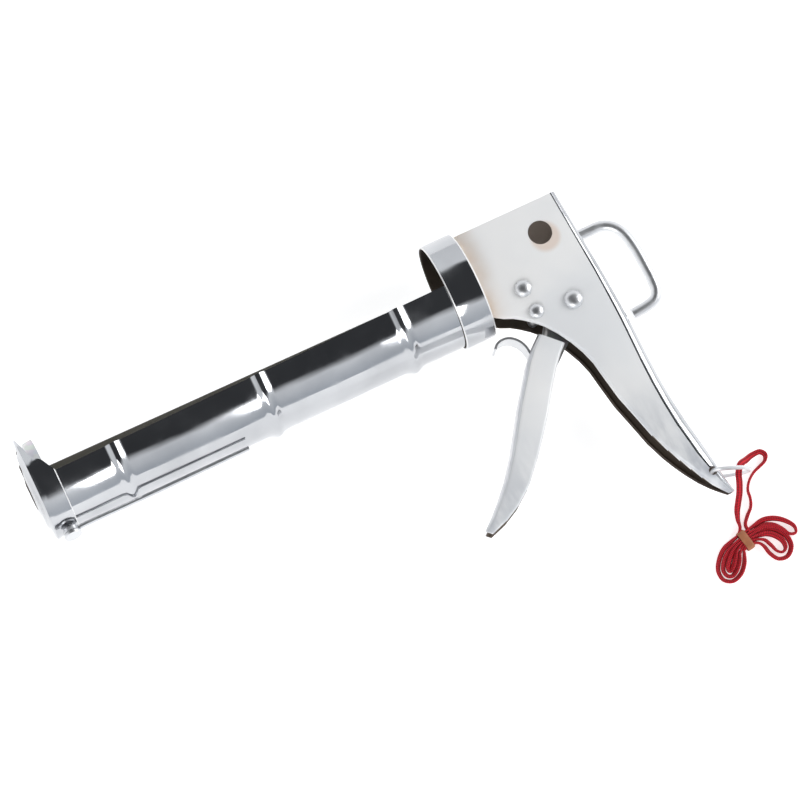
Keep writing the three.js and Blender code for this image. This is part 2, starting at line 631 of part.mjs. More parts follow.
// The gun is let down onto the surface, and the origin is the middle of its footprint there.
group.updateMatrixWorld(true);
const gunBox = new THREE.Box3().setFromObject(gun, true);
const middle = gunBox.getCenter(new THREE.Vector3());
gun.position.z = -gunBox.min.z;
group.position.set(-middle.x, -middle.y, 0);

addPiece('cord_loop', makeCordTube(), RED_CORD);
addPiece('hank_lower', hankSolid(HANK_LOWER, 3.7), RED_CORD);
addPiece('hank_upper', hankSolid(HANK_UPPER, 3.7), RED_CORD);
addPiece('cord_band', makeBand(), TAN_BAND);

export default group;
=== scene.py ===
import math

import bpy
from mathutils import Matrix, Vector, noise


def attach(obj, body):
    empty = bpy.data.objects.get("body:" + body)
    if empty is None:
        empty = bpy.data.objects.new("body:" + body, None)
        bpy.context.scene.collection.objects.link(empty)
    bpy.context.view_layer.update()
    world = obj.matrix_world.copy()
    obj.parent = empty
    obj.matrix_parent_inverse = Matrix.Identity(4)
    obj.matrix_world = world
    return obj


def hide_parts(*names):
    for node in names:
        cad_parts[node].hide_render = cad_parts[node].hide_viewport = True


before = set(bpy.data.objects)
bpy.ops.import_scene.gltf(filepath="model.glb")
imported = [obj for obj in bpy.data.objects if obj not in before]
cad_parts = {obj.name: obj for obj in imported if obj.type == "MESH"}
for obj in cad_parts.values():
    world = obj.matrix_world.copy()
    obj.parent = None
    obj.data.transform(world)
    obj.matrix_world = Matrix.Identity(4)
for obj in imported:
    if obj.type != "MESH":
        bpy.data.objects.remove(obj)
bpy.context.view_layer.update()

MM = 0.001

# ---- where the gun lies: its drawing frame and the surface's frame -----------------------------

GUN_ORIGIN_MM = Vector((78.437, 60.329, 28.278))   # the collar's rear centre on the barrel axis
LAY_ROLL = math.radians(5.9)
SHEET_MM = 1.2
HANDLE_HALF_MM = 14
PINCH_START_MM = -108
TAIL_HALF_MM = 3.2
TAIL_END_Z_MM = -150


def metres(point_mm):
    """A point of the surface's frame, whose origin is under the gun's own, in the row frame."""
    x, y, z = point_mm
    return Vector((x + GUN_ORIGIN_MM.x, y + GUN_ORIGIN_MM.y, z)) * MM


def from_gun(x, y, z):
    """A point of the gun's drawing, in the row frame."""
    side, up = math.sin(LAY_ROLL), math.cos(LAY_ROLL)
    return (Vector((x, y * side + z * up, -y * up + z * side)) + GUN_ORIGIN_MM) * MM


def direction_to_gun(v):
    """A direction of the row frame, in the gun's drawing."""
    side, up = math.sin(LAY_ROLL), math.cos(LAY_ROLL)
    return Vector((v.x, v.y * side - v.z * up, v.y * up + v.z * side))


def to_gun(point):
    """A row frame point, in the gun's drawing."""
    return direction_to_gun(point / MM - GUN_ORIGIN_MM)


# ---- camera ------------------------------------------------------------------------------------

CAMERA_DISTANCE_MM = 2100
CAMERA_AZIMUTH = math.radians(-25.59)
CAMERA_ELEVATION = math.radians(74.23)
CAMERA_ROLL = math.radians(-0.22)
CAMERA_AIM_MM = GUN_ORIGIN_MM + Vector((-56.0, -33.1, -18.6))
CAMERA_LENS_MM = 189.5
SENSOR_MM = 36


def make_camera():
    flat = math.cos(CAMERA_ELEVATION)
    back = Vector((
        math.sin(CAMERA_AZIMUTH) * flat,
        -math.cos(CAMERA_AZIMUTH) * flat,
        math.sin(CAMERA_ELEVATION),
    ))
    level = Vector((0, 0, 1)).cross(back).normalized()
    rise = back.cross(level)
    right = math.cos(CAMERA_ROLL) * level + math.sin(CAMERA_ROLL) * rise
    up = back.cross(right)
    data = bpy.data.cameras.new("camera")
    data.lens = CAMERA_LENS_MM
    data.sensor_width = SENSOR_MM
    data.clip_end = 50
    camera = bpy.data.objects.new("camera", data)
    bpy.context.collection.objects.link(camera)
    stand = (CAMERA_AIM_MM + back * CAMERA_DISTANCE_MM) * MM
    matrix = camera.matrix_world.copy()
    for row in range(3):
        matrix[row][0], matrix[row][1], matrix[row][2] = right[row], up[row], back[row]
        matrix[row][3] = stand[row]
    camera.matrix_world = matrix
    bpy.context.scene.camera = camera


make_camera()

# ---- mesh helpers ------------------------------------------------------------------------------


def new_piece(name, points, faces, smooth=True):
    mesh = bpy.data.meshes.new(name)
    mesh.from_pydata([tuple(p) for p in points], [], faces)
    mesh.update()
    mesh.polygons.foreach_set("use_smooth", [smooth] * len(mesh.polygons))
    piece = bpy.data.objects.new(name, mesh)
    bpy.context.collection.objects.link(piece)
    return piece


SPLINE_PARTS = 40


def spline_points(controls, step):
    """Even points along a centripetal Catmull-Rom curve. The controls may carry extra numbers."""
    knots = [list(c) for c in controls]
    first = [2 * a - b for a, b in zip(knots[0], knots[1])]
    last = [2 * a - b for a, b in zip(knots[-1], knots[-2])]
    knots = [first, *knots, last]
    fine = []
    for i in range(1, len(knots) - 2):
        p = knots[i - 1:i + 3]
        t = [0.0]
        for a, b in zip(p, p[1:]):
            t.append(t[-1] + max(math.dist(a[:3], b[:3]), 1e-4) ** 0.5)
        for k in range(SPLINE_PARTS):
            u = t[1] + (t[2] - t[1]) * k / SPLINE_PARTS
            fine.append(_barry_goldman(p, t, u))
    fine.append(knots[-2])
    return _resampled(fine, step)


def _mix(a, b, ta, tb, u):
    w = (u - ta) / (tb - ta)
    return [x + (y - x) * w for x, y in zip(a, b)]


def _barry_goldman(p, t, u):
    a = [_mix(p[i], p[i + 1], t[i], t[i + 1], u) for i in range(3)]
    b = [_mix(a[i], a[i + 1], t[i], t[i + 2], u) for i in range(2)]
    return _mix(b[0], b[1], t[1], t[2], u)


def _resampled(points, step):
    lengths = [0.0]
    for a, b in zip(points, points[1:]):
        lengths.append(lengths[-1] + math.dist(a[:3], b[:3]))
    count = round(lengths[-1] / step)
    result = []
    j = 0
    for i in range(count + 1):
        along = lengths[-1] * i / count
        while j < len(points) - 2 and lengths[j + 1] < along:
            j += 1
        span = max(lengths[j + 1] - lengths[j], 1e-9)
        w = (along - lengths[j]) / span
        result.append([x + (y - x) * w for x, y in zip(points[j], points[j + 1])])
    return result


# ---- the cord ----------------------------------------------------------------------------------

CORD_WIDTH_MM = 3.4
CORD_THICKNESS_MM = 1.3
CORD_STEP_MM = 0.3
CORD_SIDES = 16
BRAID_PITCH_MM = 1.7
BRAID_RISE_MM = 0.07

# Each point is x, y, z of the surface's frame in mm, then how many degrees the flat cord leans from
# standing on its edge.
RING_LOOP = [
    (71.4, -168.3, 2, 0), (71.2, -163.9, 2, 10), (74.2, -160.1, 2, 20), (77.8, -156.7, 2, 10),
    (79.6, -152.7, 2, 0), (80.4, -148.5, 2, 0), (83, -144.7, 2, 0), (87, -141.7, 2, 10),
    (91.2, -140.1, 2, 20), (95, -138.5, 2, 20), (96.4, -135.9, 2, 30), (94.8, -133.5, 2.1, 30),
    (90.5, -133.5, 3, 40), (86, -135, 6, 60), (81.4, -136.8, 9.8, 75), (78.6, -140.6, 10.6, 80),
    (77.2, -144.6, 8, 75), (75.4, -148.6, 5, 70), (73.3, -151.9, 2.6, 65), (70.8, -155.7, 2, 55),
    (69, -160.1, 2, 35), (68.1, -164.1, 2, 15),
]
BAND_LEFT_X = 64.8
BAND_RIGHT_X = 70.8
PASS_TOP_Y = -167.4
PASS_PITCH = 1.42


def band_pass(number, rightward):
    """The two points where a strand goes through the band, the strands being numbered from the top."""
    y = PASS_TOP_Y - PASS_PITCH * (number - 1)
    points = [(BAND_LEFT_X, y - 0.5, 2, 0), (BAND_RIGHT_X, y + 0.5, 2, 0)]
    return points if rightward else points[::-1]


LEFT_OUTER = [
    (61.2, -168.4, 2, 20), (56.2, -170.1, 2, 34), (51.6, -173.9, 2, 36), (48.4, -179.1, 2, 36),
    (48.8, -184.1, 2, 36), (52.6, -186.6, 2, 36), (57.8, -185.1, 2, 36), (61.8, -181, 2, 30),
    (63.8, -177.1, 2, 14),
]
LEFT_MIDDLE = [
    (61.4, -170.7, 2, 20), (57.2, -172.5, 2, 34), (53.4, -175.7, 2, 36), (50.8, -179.9, 2, 36),
    (51.4, -183.1, 2, 36), (53.4, -184.2, 2, 36), (56.6, -182.7, 2, 36), (60, -179.1, 2, 30),
    (62.2, -175.5, 2, 14),
]
LEFT_INNER = [
    (61.6, -172.1, 2, 20), (58.2, -174.3, 2, 34), (55.4, -177.1, 2, 36), (53.2, -180.3, 2, 34),
    (53.6, -181.7, 2, 30), (55.4, -180.7, 2, 34), (58.2, -177.7, 2, 34), (61.2, -174.1, 2, 14),
]
RIGHT_TOP = [
    (74.6, -166.1, 2, 16), (80, -165.3, 2, 30), (85.8, -167.1, 2, 30), (90.2, -170.7, 2, 20),
    (92.8, -175.1, 2, 8), (92, -178.1, 2, 0), (89.2, -177.5, 2, 8), (87.2, -173.7, 2, 24),
    (84.2, -169.9, 2, 34), (80, -167.7, 2, 34), (75, -167.9, 2, 16),
]
RIGHT_OUTER = [
    (74.8, -169.5, 2, 16), (79.8, -170, 2, 34), (84.2, -173.1, 2, 36), (87, -178.1, 2, 36),
    (86.6, -183.5, 2, 36), (82.6, -187.1, 2, 36), (78.2, -186.3, 2, 36), (75.6, -182.1, 2, 36),
    (74.6, -177.5, 2, 30), (73.2, -175.1, 2, 14),
]
RIGHT_INNER = [
    (74.8, -171.5, 2, 16), (78.8, -172.4, 2, 34), (82, -175.1, 2, 36), (84.2, -179.1, 2, 34),
    (83.8, -182.9, 2, 20), (81.6, -184.1, 2, 10), (79.4, -182.5, 2, 20), (78, -178.5, 2, 34),
    (76.4, -174.9, 2, 30), (74.2, -173.4, 2, 14),
]


def leaning(points, sign, backward=False):
    """Points with the lean turned to the side that is outward for the way the cord runs."""
    run = points[::-1] if backward else points
    return [(x, y, z, lean * sign) for x, y, z, lean in run]


def cord_controls():
    return [
        *RING_LOOP,
        (BAND_LEFT_X + 0.6, -167, 2, 5),
        *leaning(LEFT_OUTER, 1),
        *band_pass(6, True),
        *leaning(RIGHT_OUTER, 1, backward=True),
        *band_pass(3, False),
        *leaning(LEFT_INNER, 1),
        *band_pass(4, True),
        *leaning(RIGHT_INNER, -1),
        *band_pass(5, False),
        *leaning(LEFT_MIDDLE, -1, backward=True),
        *band_pass(2, True),
        *leaning(RIGHT_TOP, 1, backward=True),
        (BAND_RIGHT_X, -166.7, 2, 0),
        (67.4, -167.3, 2, 0),
    ]


def cord_section():
    """The flat cord's section as (across the thickness, across the width), a soft-edged oblong."""
    section = []
    for i in range(CORD_SIDES):
        angle = 2 * math.pi * i / CORD_SIDES
        c, s = math.cos(angle), math.sin(angle)
        section.append((
            math.copysign(abs(c) ** 0.8, c) * CORD_THICKNESS_MM / 2,
            math.copysign(abs(s) ** 0.55, s) * CORD_WIDTH_MM / 2,
        ))
    return section


def braid(along_mm, across_mm):
    """Relief of the flat braid, 0 to 1: rows of stitches that slant both ways from the middle line."""
    row = abs(across_mm) / (CORD_WIDTH_MM / 2)
    phase = 2 * math.pi * (along_mm / BRAID_PITCH_MM + 0.9 * row)
    return 0.5 + 0.5 * math.cos(phase) * math.cos(math.pi * row * 1.5) ** 2


def make_cord():
    line = spline_points(cord_controls(), CORD_STEP_MM)
    section = cord_section()
    points, faces, uvs = [], [], []
    for i, (x, y, z, lean) in enumerate(line):
        before, after = line[max(i - 1, 0)], line[min(i + 1, len(line) - 1)]
        along = (Vector(after[:3]) - Vector(before[:3])).normalized()
        side = along.cross(Vector((0, 0, 1))).normalized()
        rise = side.cross(along)
        tilt = math.radians(lean)
        width = math.cos(tilt) * rise + math.sin(tilt) * side
        thick = along.cross(width)
        for across, high in section:
            relief = BRAID_RISE_MM * braid(i * CORD_STEP_MM, high)
            swell = 1 + relief / (CORD_THICKNESS_MM / 2)
            points.append(metres(Vector((x, y, z)) + thick * across * swell + width * high))
    for i in range(len(line) - 1):
        for k in range(CORD_SIDES):
            n = (k + 1) % CORD_SIDES
            a, b = i * CORD_SIDES, (i + 1) * CORD_SIDES
            faces.append((a + k, a + n, b + n, b + k))
            u0, u1 = k / CORD_SIDES, (k + 1) / CORD_SIDES
            v0, v1 = i * CORD_STEP_MM, (i + 1) * CORD_STEP_MM
            uvs.extend([(u0, v0), (u1, v0), (u1, v1), (u0, v1)])
    last = (len(line) - 1) * CORD_SIDES
    faces.append(tuple(range(CORD_SIDES))[::-1])
    faces.append(tuple(range(last, last + CORD_SIDES)))
    uvs.extend([(0.5, 0)] * (2 * CORD_SIDES))
    cord = new_piece("wrist_cord", points, faces)
    layer = cord.data.uv_layers.new(name="strand")
    for loop, uv in zip(layer.data, uvs):
        loop.uv = uv
    length = sum(math.dist(a[:3], b[:3]) for a, b in zip(line, line[1:])) * MM
    return cord, [metres(p[:3]) for p in line], length


BAND_CENTRE = (67.7, -170.9, 2.15)
BAND_TURN = math.radians(-80)
BAND_LENGTH_MM = 10.8
BAND_HEIGHT_MM = 4.2
BAND_WIDTH_MM = 4.3
BAND_SHEET_MM = 0.5


def make_band():
    """A soft tie wrapped round the hank's waist: a thin rounded strap bent into a flattened ring."""
    around, across = 64, 10
    points, faces = [], []
    straight = BAND_LENGTH_MM - BAND_HEIGHT_MM
    perimeter = 2 * straight + math.pi * BAND_HEIGHT_MM
    centre = Vector(BAND_CENTRE)
    reach = Vector((math.cos(BAND_TURN), math.sin(BAND_TURN), 0))
    through = Vector((-math.sin(BAND_TURN), math.cos(BAND_TURN), 0))
    for i in range(around):
        (u, v), (nu, nv) = stadium(i / around * perimeter, straight, BAND_HEIGHT_MM / 2)
        crease = 0.12 * noise.noise(Vector((i * 0.35, 2.0, 0)))
        for k in range(across):
            angle = 2 * math.pi * k / across
            w = math.copysign(abs(math.cos(angle)) ** 0.6, math.cos(angle)) * BAND_WIDTH_MM / 2
            t = math.sin(angle) * BAND_SHEET_MM / 2
            sag = 0.18 * (1 - (2 * w / BAND_WIDTH_MM) ** 2)
            outward = t + sag - BAND_SHEET_MM / 2 + crease
            along_band = reach * (u + nu * outward)
            above = Vector((0, 0, v + nv * outward))
            points.append(metres(centre + along_band + above + through * (w + crease)))
    for i in range(around):
        for k in range(across):
            n, j = (k + 1) % across, (i + 1) % around
            faces.append((i * across + k, i * across + n, j * across + n, j * across + k))
    band = new_piece("hank_band", points, faces)
    smooth = band.modifiers.new("smooth", "SUBSURF")
    smooth.levels = smooth.render_levels = 1
    return band


def stadium(along, straight, radius):
    """Place and outward direction at a distance along a flattened ring's outline."""
    arc = math.pi * radius
    if along < straight:
        return (along - straight / 2, radius), (0, 1)
    along -= straight
    if along < arc:
        return round_end(straight / 2, math.pi / 2 - along / radius, radius)
    along -= arc
    if along < straight:
        return (straight / 2 - along, -radius), (0, -1)
    along -= straight
    return round_end(-straight / 2, -math.pi / 2 - along / radius, radius)


def round_end(centre, angle, radius):
    outward = (math.cos(angle), math.sin(angle))
    return (centre + radius * outward[0], radius * outward[1]), outward


cord, cord_path, cord_length = make_cord()
band = make_band()
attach(cord, "frame")
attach(band, "frame")
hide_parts("cord_loop", "hank_lower", "hank_upper")
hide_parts("cord_band")

# ---- node helpers ------------------------------------------------------------------------------


def node(tree, kind, inputs=None, **settings):
    """Adds a node, sets its own properties, and sets or links its inputs by name or number."""
    made = tree.nodes.new(kind)
    for name, value in settings.items():
        setattr(made, name, value)
    for name, value in (inputs or {}).items():
        if isinstance(value, bpy.types.NodeSocket):
            tree.links.new(value, made.inputs[name])
        else:
            made.inputs[name].default_value = value
    return made


def place(tree):
    return node(tree, "ShaderNodeTexCoord").outputs["Object"]


def noise_of(tree, vector, scale, detail=3.0, stretch=None):
    if stretch:
        vector = node(tree, "ShaderNodeMapping", {"Vector": vector, "Scale": stretch}).outputs[0]
    inputs = {"Vector": vector, "Scale": scale, "Detail": detail}
    return node(tree, "ShaderNodeTexNoise", inputs).outputs["Fac"]


def distance_from(tree, vector, point):
    made = node(tree, "ShaderNodeVectorMath", {0: vector, 1: point}, operation="DISTANCE")
    return made.outputs["Value"]


def ramp_between(tree, value, low, high, start=0.0, end=1.0, curve="SMOOTHSTEP"):
    """Value mapped from low..high to start..end, and held there outside."""
    inputs = {"Value": value, "From Min": low, "From Max": high, "To Min": start, "To Max": end}
    return node(tree, "ShaderNodeMapRange", inputs, interpolation_type=curve).outputs[0]


def calc(tree, operation, a, b=0.0):
    return node(tree, "ShaderNodeMath", {0: a, 1: b}, operation=operation).outputs[0]


def blend_colour(tree, factor, a, b, mode="MIX"):
    made = node(tree, "ShaderNodeMix", data_type="RGBA", blend_type=mode)
    for socket, value in ((made.inputs[0], factor), (made.inputs[6], a), (made.inputs[7], b)):
        if isinstance(value, bpy.types.NodeSocket):
            tree.links.new(value, socket)
        else:
            socket.default_value = value
    return made.outputs[2]


def bump_of(tree, height, strength, distance, normal=None):
    inputs = {"Height": height, "Strength": strength, "Distance": distance}
    if normal:
        inputs["Normal"] = normal
    return node(tree, "ShaderNodeBump", inputs).outputs[0]


def grey(value, blue=0.0):
    return (value - blue / 2, value, value + blue, 1)


def new_material(name, **constants):
    material = bpy.data.materials.new(name)
    material.use_nodes = True
    tree = material.node_tree
    shader = tree.nodes["Principled BSDF"]
    for socket, value in constants.items():
        shader.inputs[socket.replace("_", " ")].default_value = value
    return material, tree, shader


def wire_up(tree, shader, **values):
    for socket, value in values.items():
        tree.links.new(value, shader.inputs[socket.replace("_", " ")])


# ---- finishes ----------------------------------------------------------------------------------


def mirror_chrome():
    """Bright chrome plate over pressed sheet: sharp, slightly waved reflections and faint rub marks."""
    material, tree, shader = new_material("mirror_chrome", Metallic=1.0)
    where = place(tree)
    patches = ramp_between(tree, noise_of(tree, where, 28), 0.35, 0.7)
    colour = blend_colour(tree, patches, grey(0.57, 0.02), grey(0.48, 0.02))
    rubs = noise_of(tree, where, 1, 4, stretch=(60, 1400, 1400))
    waves = noise_of(tree, where, 55, 1)
    wavy = bump_of(tree, waves, 0.3, 0.0008)
    normal = bump_of(tree, rubs, 0.04, 0.0001, wavy)
    rough = ramp_between(tree, noise_of(tree, where, 70, 5), 0.35, 0.75, 0.07, 0.2)
    wire_up(tree, shader, Base_Color=colour, Roughness=rough, Normal=normal)
    return material


def wire_chrome(name, softness):
    """Plated wire and rivets, softer than the sheet."""
    material, tree, shader = new_material(name, Metallic=1.0)
    where = place(tree)
    colour = blend_colour(tree, noise_of(tree, where, 120), grey(0.8, 0.01), grey(0.66, 0.02))
    rough = ramp_between(tree, noise_of(tree, where, 300, 4), 0.3, 0.8, softness, softness + 0.1)
    normal = bump_of(tree, noise_of(tree, where, 900), 0.1, 0.0001)
    wire_up(tree, shader, Base_Color=colour, Roughness=rough, Normal=normal)
    return material


# Places on the handle's left plate, and the spot on the right plate that shows through the look hole,
# where the inside gets a painted pool of light.
PLATE_TINT_FRONT = from_gun(0, -HANDLE_HALF_MM, 0).x
HALO_CENTRE = from_gun(41.5, -HANDLE_HALF_MM, 4.5)
HOLE_FLOOR = from_gun(40.1, HANDLE_HALF_MM - SHEET_MM, 7.5)
TAIL_START_Y = from_gun(0, -HANDLE_HALF_MM, -70).y
TAIL_END_Y = from_gun(0, -HANDLE_HALF_MM, -135).y


def satin_plate(name, tinted):
    """Flat plated sheet, pale and satin, rubbed darker down the tail. The handle's is also heat-tinted
    by the collar's weld and round the look hole."""
    material, tree, shader = new_material(name, Metallic=0.1, Specular_IOR_Level=0.3)
    where = place(tree)
    axes = node(tree, "ShaderNodeSeparateXYZ", {"Vector": where})
    cloud = ramp_between(tree, noise_of(tree, where, 16, 3), 0.4, 0.7)
    colour = blend_colour(tree, cloud, (0.97, 0.965, 0.955, 1), (0.86, 0.87, 0.88, 1))
    tail = ramp_between(tree, axes.outputs["Y"], TAIL_START_Y, TAIL_END_Y)
    streaks = noise_of(tree, where, 1, 4, stretch=(160, 45, 160))
    rubbed = calc(tree, "MULTIPLY", tail, ramp_between(tree, streaks, 0.35, 0.65, 0.25, 0.9))
    colour = blend_colour(tree, rubbed, colour, grey(0.5, 0.04))
    if tinted:
        weld = ramp_between(tree, axes.outputs["X"], PLATE_TINT_FRONT + 0.013, PLATE_TINT_FRONT - 0.004)
        patchy = ramp_between(tree, noise_of(tree, where, 50, 3), 0.2, 0.7, 0.2, 1)
        weld = calc(tree, "MULTIPLY", weld, patchy)
        colour = blend_colour(tree, weld, colour, (0.74, 0.53, 0.36, 1))
        halo = ramp_between(tree, distance_from(tree, where, HALO_CENTRE), 0.009, 0.0058, 0, 0.45)
        colour = blend_colour(tree, halo, colour, (0.75, 0.5, 0.33, 1))
    marks = noise_of(tree, where, 1, 3, stretch=(90, 700, 300))
    rough = ramp_between(tree, marks, 0.3, 0.7, 0.3, 0.4)
    normal = bump_of(tree, noise_of(tree, where, 40, 1), 0.2, 0.0004)
    wire_up(tree, shader, Base_Color=colour, Roughness=rough, Normal=normal)
    return material


def dull_inside():
    """The unpolished inner side of the sheet, brown and dull, with a painted pool of light on the far
    plate under the look hole.
    """
    material, tree, shader = new_material("dull_inside", Metallic=0.3)
    where = place(tree)
    cloud = noise_of(tree, where, 60, 5)
    colour = blend_colour(tree, cloud, (0.085, 0.066, 0.052, 1), (0.17, 0.135, 0.108, 1))
    # A painted pool of light: the far plate is painted paler where light comes in through the look
    # hole.
    lit = ramp_between(tree, distance_from(tree, where, HOLE_FLOOR), 0.026, 0.012)
    colour = blend_colour(tree, lit, colour, (0.42, 0.35, 0.3, 1))
    rough = ramp_between(tree, noise_of(tree, where, 200, 4), 0.3, 0.7, 0.42, 0.62)
    normal = bump_of(tree, noise_of(tree, where, 500), 0.15, 0.0002)
    wire_up(tree, shader, Base_Color=colour, Roughness=rough, Normal=normal)
    return material


def inner_chrome():
    """The trough's inner side: plated, but duller than the outside."""
    material, tree, shader = new_material("inner_chrome", Metallic=0.9)
    where = place(tree)
    cloud = noise_of(tree, where, 40, 5)
    colour = blend_colour(tree, cloud, (0.2, 0.19, 0.165, 1), (0.34, 0.33, 0.3, 1))
    rough = ramp_between(tree, noise_of(tree, where, 150, 4), 0.3, 0.7, 0.28, 0.45)
    normal = bump_of(tree, noise_of(tree, where, 400), 0.1, 0.0002)
    wire_up(tree, shader, Base_Color=colour, Roughness=rough, Normal=normal)
    return material


def edge_painted_highlight():
    """The sheet's sheared or rounded edges, painted pale so that they show as thin bright lines: a
    painted highlight.
    """
    material, tree, shader = new_material("edge_painted_highlight", Metallic=0.4)
    where = place(tree)
    colour = blend_colour(tree, noise_of(tree, where, 120, 4), grey(0.78), grey(0.95))
    rough = ramp_between(tree, noise_of(tree, where, 600, 3), 0.3, 0.7, 0.3, 0.45)
    wire_up(tree, shader, Base_Color=colour, Roughness=rough)
    return material


def zinc():
    """Zinc-plated pressings, with a faint spangle."""
    material, tree, shader = new_material("zinc", Metallic=1.0)
    where = place(tree)
    spangle = node(tree, "ShaderNodeTexVoronoi", {"Vector": where, "Scale": 260}).outputs["Color"]
    colour = blend_colour(tree, 0.12, grey(0.55, 0.01), spangle, "SOFT_LIGHT")
    rough = ramp_between(tree, noise_of(tree, where, 160, 4), 0.3, 0.7, 0.3, 0.48)
    normal = bump_of(tree, noise_of(tree, where, 700), 0.1, 0.0002)
    wire_up(tree, shader, Base_Color=colour, Roughness=rough, Normal=normal)
    return material


def bare_steel():
    """Hardened, oiled steel of the pawls and the spring."""
    material, tree, shader = new_material("bare_steel", Metallic=1.0)
    where = place(tree)
    cloud = noise_of(tree, where, 150, 4)
    colour = blend_colour(tree, cloud, (0.3, 0.29, 0.28, 1), (0.42, 0.41, 0.4, 1))
    rough = ramp_between(tree, noise_of(tree, where, 400, 4), 0.3, 0.7, 0.28, 0.45)
    normal = bump_of(tree, noise_of(tree, where, 900), 0.12, 0.0002)
    wire_up(tree, shader, Base_Color=colour, Roughness=rough, Normal=normal)
    return material


def woven_red():
    """Red polyester braid: bright crowns of the weave with painted shade in the gaps between them, and
    a soft fibre sheen.
    """
    material, tree, shader = new_material("woven_red", Sheen_Weight=0.06, Specular_IOR_Level=0.25)
    strand = node(tree, "ShaderNodeUVMap", uv_map="strand").outputs[0]
    axes = node(tree, "ShaderNodeSeparateXYZ", {"Vector": strand})
    along = calc(tree, "MULTIPLY", axes.outputs["Y"], 2 * math.pi / BRAID_PITCH_MM)
    slant = calc(tree, "MULTIPLY", axes.outputs["X"], 2 * math.pi * 4)
    one = calc(tree, "SINE", calc(tree, "ADD", along, slant))
    other = calc(tree, "SINE", calc(tree, "SUBTRACT", along, slant))
    weave_and_gap_shade = ramp_between(tree, calc(tree, "MULTIPLY", one, other), -0.45, 0.3)
    fibre = noise_of(tree, place(tree), 1800, 4)
    # The dark colour in the weave's gaps is painted shade; the crowns keep the braid's red. The same
    # pattern also gives the weave's relief.
    colour = blend_colour(tree, weave_and_gap_shade, (0.09, 0.001, 0.003, 1), (0.68, 0.009, 0.024, 1))
    colour = blend_colour(tree, calc(tree, "MULTIPLY", fibre, 0.16), colour, (0.85, 0.1, 0.12, 1))
    height = calc(tree, "ADD", weave_and_gap_shade, calc(tree, "MULTIPLY", fibre, 0.4))
    rough = ramp_between(tree, fibre, 0.2, 0.8, 0.6, 0.85)
    normal = bump_of(tree, height, 0.6, 0.0002)
    wire_up(tree, shader, Base_Color=colour, Roughness=rough, Normal=normal)
    return material


def tan_leather():
    """Tan tie with a fine grain and patchy wear."""
    material, tree, shader = new_material("tan_tie", Coat_Weight=0.15, Coat_Roughness=0.35)
    where = place(tree)
    grain = node(tree, "ShaderNodeTexVoronoi", {"Vector": where, "Scale": 1500}).outputs["Distance"]
    wear = noise_of(tree, where, 260, 4)
    colour = blend_colour(tree, wear, (0.3, 0.1, 0.045, 1), (0.56, 0.22, 0.1, 1))
    rough = ramp_between(tree, grain, 0, 0.8, 0.42, 0.62)
    normal = bump_of(tree, grain, 0.25, 0.0002)
    wire_up(tree, shader, Base_Color=colour, Roughness=rough, Normal=normal)
    return material


FINISH = {
    "mirror": mirror_chrome(),
    "wire": wire_chrome("wire_chrome", 0.36),
    "rivet": wire_chrome("rivet_chrome", 0.34),
    # edge: a painted highlight, pale paint on the sheet's edges and rims
    "edge": edge_painted_highlight(),
    "plate": satin_plate("satin_handle", True),
    "trigger": satin_plate("satin_trigger", False),
    "dull": dull_inside(),
    "inner": inner_chrome(),
    "zinc": zinc(),
    "steel": bare_steel(),
}
cord.data.materials.append(woven_red())
band.data.materials.append(tan_leather())

# ---- CAD nodes: smooth shading and finishes ----------------------------------------------------

SMOOTH_ANGLE = math.radians(32)
WELD_DISTANCE = 0.00001

# Places of the drawing, in mm, that part one finish from another.
LIP_MM = 1.9
TRIGGER_HALF_MM = 11.2
TRIGGER_BEND_MM = 3.5
TONGUE_REAR_X = 11
TONGUE_FOOT_Z = -46
CAP_WALL_X = -240
CAP_EDGE_X = -229
COLLAR_MIDDLE_X = -8.2
COLLAR_MIDDLE_REACH = 7
COLLAR_WALL_X = -2


def half_width(z_mm):
    """The handle channel's half width at a height of the gun's drawing."""
    t = min(max((PINCH_START_MM - z_mm) / (PINCH_START_MM - TAIL_END_Z_MM), 0), 1)
    return HANDLE_HALF_MM + (TAIL_HALF_MM - HANDLE_HALF_MM) * t ** 3


def inside_handle(centre, normal):
    depth_mm = half_width(centre.z) - abs(centre.y)
    if depth_mm < SHEET_MM / 2:
        return False
    facing_in = centre.y * normal.y < 0 and abs(normal.y) > 0.5
    return facing_in or (normal.x < -0.3 and depth_mm > LIP_MM)


def inside_round(centre, normal):
    """True where a face of a body round the barrel axis looks at the axis."""
    return centre.y * normal.y + centre.z * normal.z < -0.3 * math.hypot(centre.y, centre.z)


def trough_edge(centre, normal):
    """True on the sheet's two long cut edges, which look neither at the axis nor away from it."""
    outward = abs(centre.y * normal.y + centre.z * normal.z) / math.hypot(centre.y, centre.z)
    return outward < 0.5 and abs(normal.x) < 0.5


def cap_edge(centre, normal):
    """True on the skirt's rear edge."""
    return normal.x > 0.3 and centre.x > CAP_EDGE_X


def collar_edge(centre, normal):
    """True on the rounded rims at the collar's two ends."""
    return abs(normal.x) > 0.3 and abs(centre.x - COLLAR_MIDDLE_X) > COLLAR_MIDDLE_REACH


def inside_collar(centre, normal):
    return inside_round(centre, normal) or (normal.x < -0.9 and centre.x > COLLAR_WALL_X)


def inside_cap(centre, normal):
    return inside_round(centre, normal) or (normal.x > 0.7 and centre.x < CAP_WALL_X)


def spine_bend(centre, normal):
    """True on the outside of the fold between a plate and the spine."""
    return 0.12 < normal.x < 0.97 and abs(normal.y) > 0.2


def inside_trigger(centre, normal):
    depth_mm = TRIGGER_HALF_MM - abs(centre.y)
    deep = depth_mm > TRIGGER_BEND_MM and normal.x > 0.2
    facing_in = depth_mm > SHEET_MM / 2 and centre.y * normal.y < 0 and abs(normal.y) > 0.5
    return centre.z < TONGUE_FOOT_Z and (deep or facing_in)


def trigger_front(centre, normal):
    """True on the finger guard's tongue and on the trigger's front."""
    return (centre.x < TONGUE_REAR_X and centre.z > TONGUE_FOOT_Z) or normal.x < -0.25


